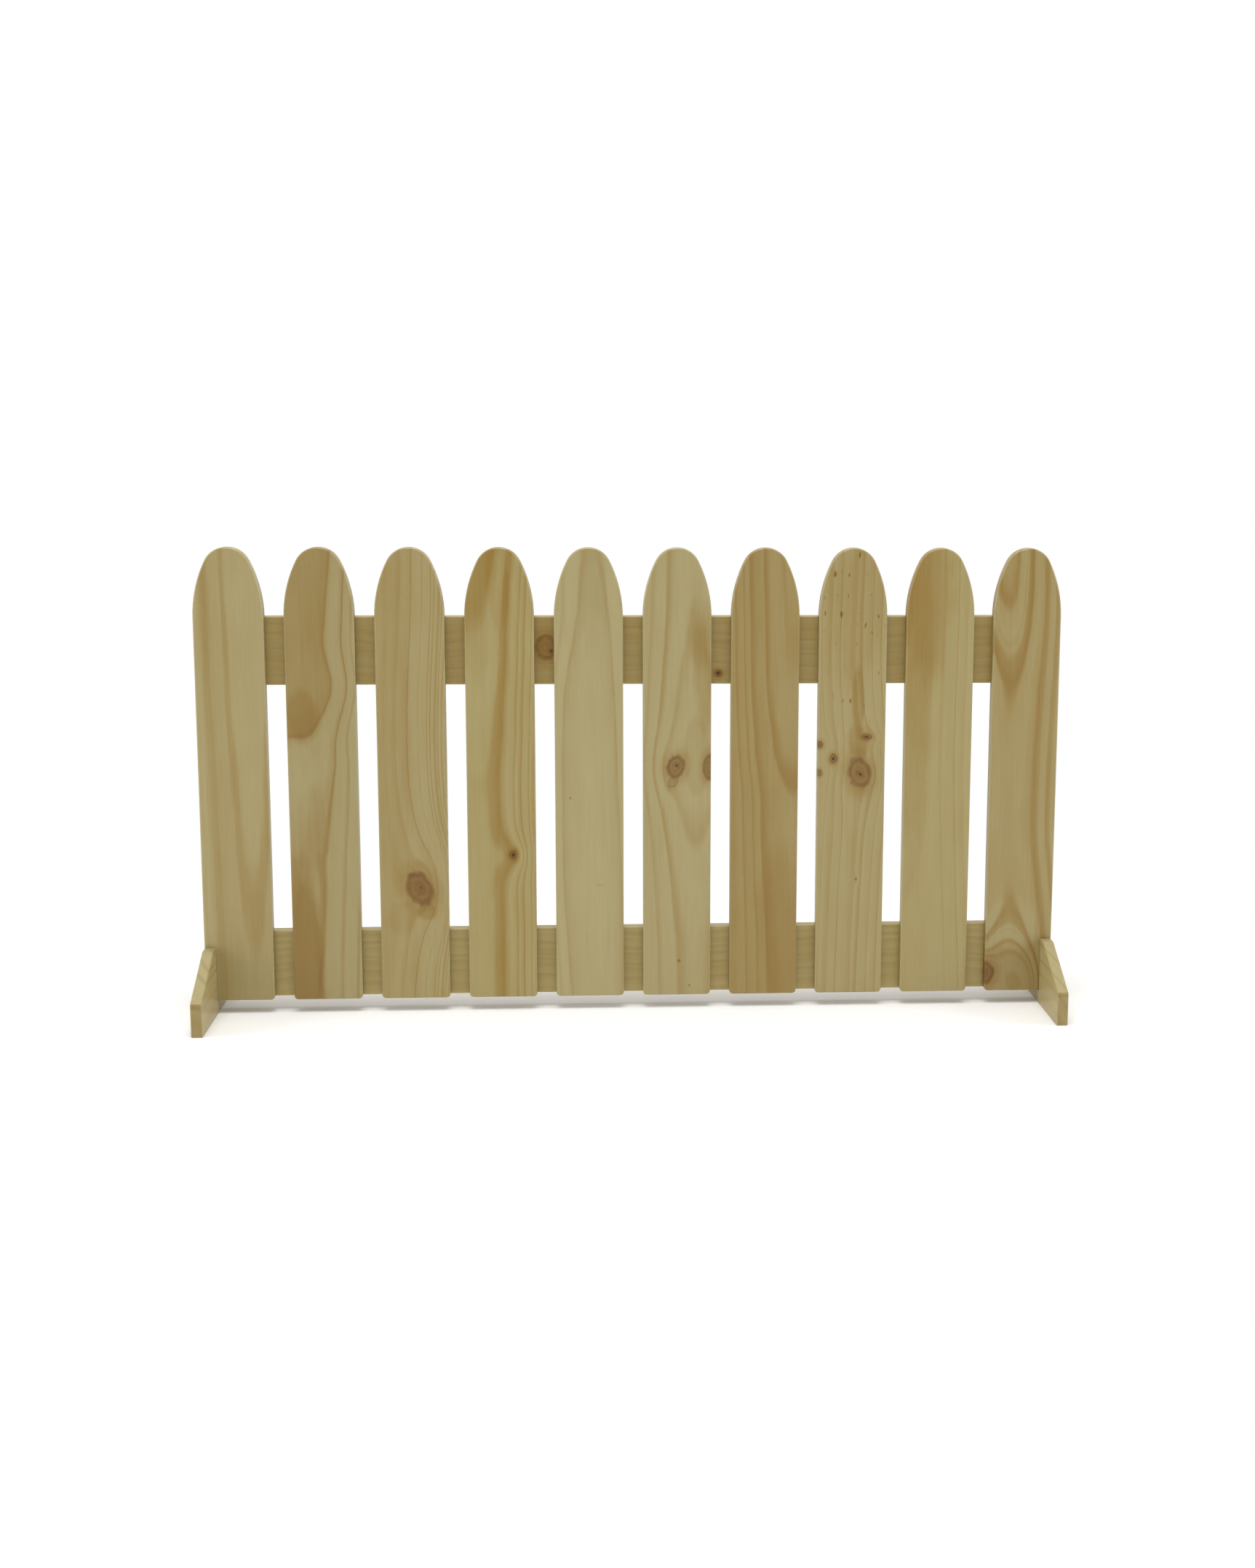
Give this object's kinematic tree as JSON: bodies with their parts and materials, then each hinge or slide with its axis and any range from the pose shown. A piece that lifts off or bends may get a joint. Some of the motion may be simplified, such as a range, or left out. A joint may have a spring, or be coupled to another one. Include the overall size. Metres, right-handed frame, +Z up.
{
  "type": "wooden garden fence panel on feet",
  "caption": "Low picket fence panel with arched boards on horizontal rails, standing by itself in notched wooden feet.",
  "frame": {"origin": "on the floor, under the middle of the panel, in the plane where pickets and rails meet", "axes": "+X along the panel from the left foot to the right one, -Y out of the front, where the pickets are, +Z up"},
  "size_m": [1.134, 0.25, 0.618],
  "materials": {
    "picket_wood": "planed pine under clear satin varnish",
    "rail_wood": "planed pine under clear satin varnish",
    "foot_wood": "planed pine under clear satin varnish"
  },
  "bodies": {
    "root": {"picket_01": "picket_wood", "picket_02": "picket_wood", "picket_03": "picket_wood", "picket_04": "picket_wood", "picket_05": "picket_wood", "picket_06": "picket_wood", "picket_07": "picket_wood", "picket_08": "picket_wood", "picket_09": "picket_wood", "picket_10": "picket_wood", "top_rail": "rail_wood", "bottom_rail": "rail_wood", "left_foot": "foot_wood", "right_foot": "foot_wood"}
  },
  "joints": []
}
